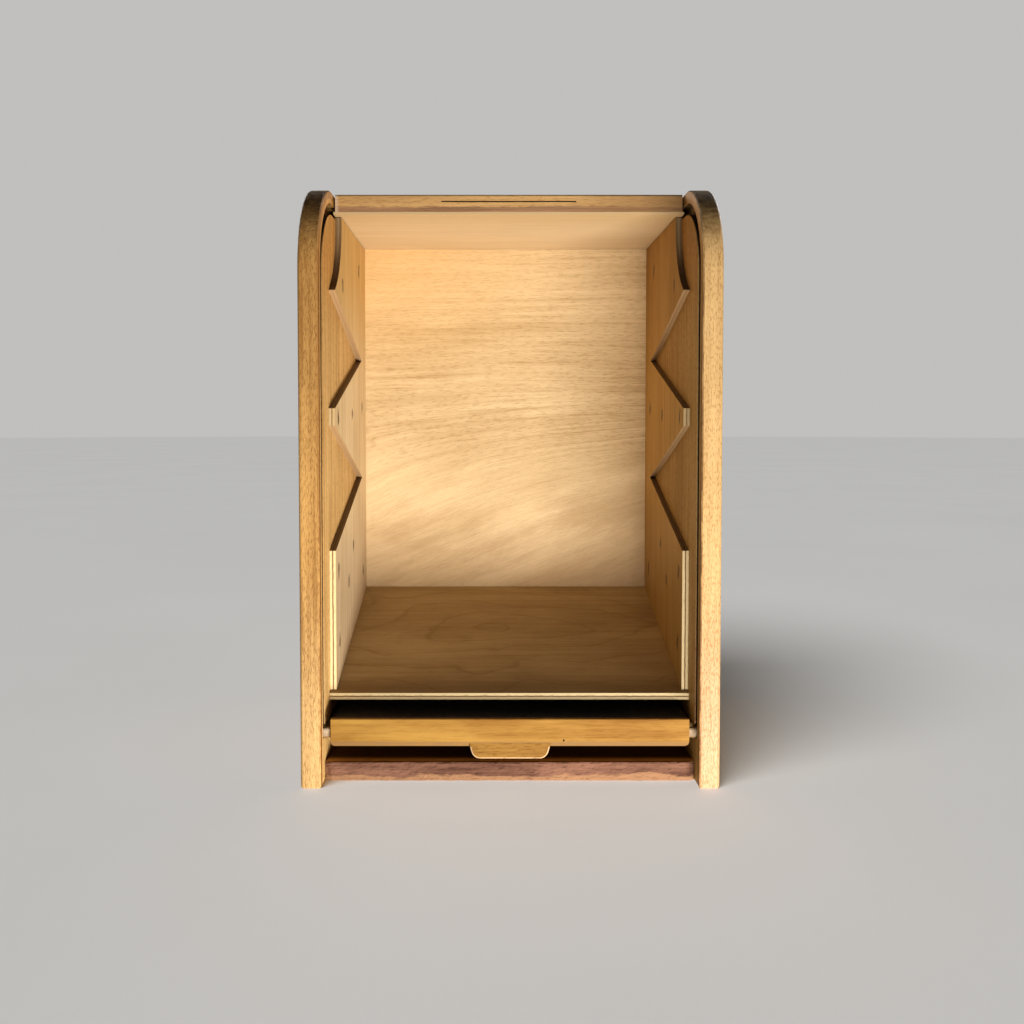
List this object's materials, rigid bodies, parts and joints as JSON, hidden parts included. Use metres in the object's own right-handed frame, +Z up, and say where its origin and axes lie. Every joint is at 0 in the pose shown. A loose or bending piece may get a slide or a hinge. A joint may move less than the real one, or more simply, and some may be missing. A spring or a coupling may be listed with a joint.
{
  "type": "roll shutter desk box",
  "caption": "Small upright wooden desk box with a rounded front, a roll shutter lowered under its sloping floor, and notched linings inside.",
  "frame": {"origin": "centre of the footprint, on the surface that the box stands on", "axes": "+Z up along the box's height, -Y out of the open front, +X to the right seen from the front"},
  "size_m": [0.245, 0.208, 0.357],
  "materials": {
    "side_wood": "oiled mid-tan hardwood, open pores, worn edges",
    "side_wood_right": "oiled mid-tan hardwood, paler towards the foot",
    "top_wood": "oiled mid-tan hardwood",
    "ply_ceiling": "three-ply birch, clear lacquer",
    "ply_floor": "three-ply birch, darkened lacquer",
    "cleat_wood": "plain softwood strip",
    "ply_liner_left": "three-ply birch, clear lacquer",
    "ply_liner_right": "three-ply birch, amber lacquer",
    "ply_back": "three-ply birch, clear lacquer, wavy flat-cut figure",
    "ply_outer_back": "plywood, thin lacquer",
    "base_wood": "rough unfinished board with a pinkish stain",
    "bar_wood": "honey lacquered hardwood",
    "slat_wood": "honey lacquered hardwood",
    "canvas": "coarse plain-weave canvas",
    "dowel_wood": "plain hardwood dowel",
    "steel": "dull steel"
  },
  "bodies": {
    "case": {"side_left": "side_wood", "side_right": "side_wood_right", "top_board": "top_wood", "ceiling_lining": "ply_ceiling", "sloping_floor": "ply_floor", "floor_cleat_left": "cleat_wood", "floor_cleat_right": "cleat_wood", "liner_left": "ply_liner_left", "liner_right": "ply_liner_right", "inner_back": "ply_back", "outer_back": "ply_outer_back", "base_board": "base_wood", "canvas_backing": "canvas", "liner_brads": "steel", "cleat_brads": "steel", "top_dowels": "dowel_wood", "base_dowels": "dowel_wood", "outer_back_screws": "steel", "slat_01": "slat_wood", "slat_02": "slat_wood", "slat_03": "slat_wood", "slat_04": "slat_wood", "slat_05": "slat_wood", "slat_06": "slat_wood", "slat_07": "slat_wood", "slat_08": "slat_wood", "slat_09": "slat_wood", "slat_10": "slat_wood", "slat_11": "slat_wood", "slat_12": "slat_wood", "slat_13": "slat_wood", "slat_14": "slat_wood", "slat_15": "slat_wood", "slat_16": "slat_wood", "slat_17": "slat_wood", "slat_18": "slat_wood", "slat_19": "slat_wood", "slat_20": "slat_wood", "slat_21": "slat_wood", "slat_22": "slat_wood", "slat_23": "slat_wood", "slat_24": "slat_wood", "slat_25": "slat_wood", "slat_26": "slat_wood", "slat_27": "slat_wood", "slat_28": "slat_wood", "slat_29": "slat_wood", "slat_30": "slat_wood", "slat_31": "slat_wood", "slat_32": "slat_wood", "slat_33": "slat_wood"},
    "shutter_bar": {"lead_bar": "bar_wood", "finger_pull": "bar_wood", "pull_dowels": "dowel_wood"}
  },
  "joints": [
    {"name": "shutter_slide", "type": "slide", "parent": "case", "child": "shutter_bar", "axis": [0, 0, 1], "range_m": [0, 0.27]}
  ]
}
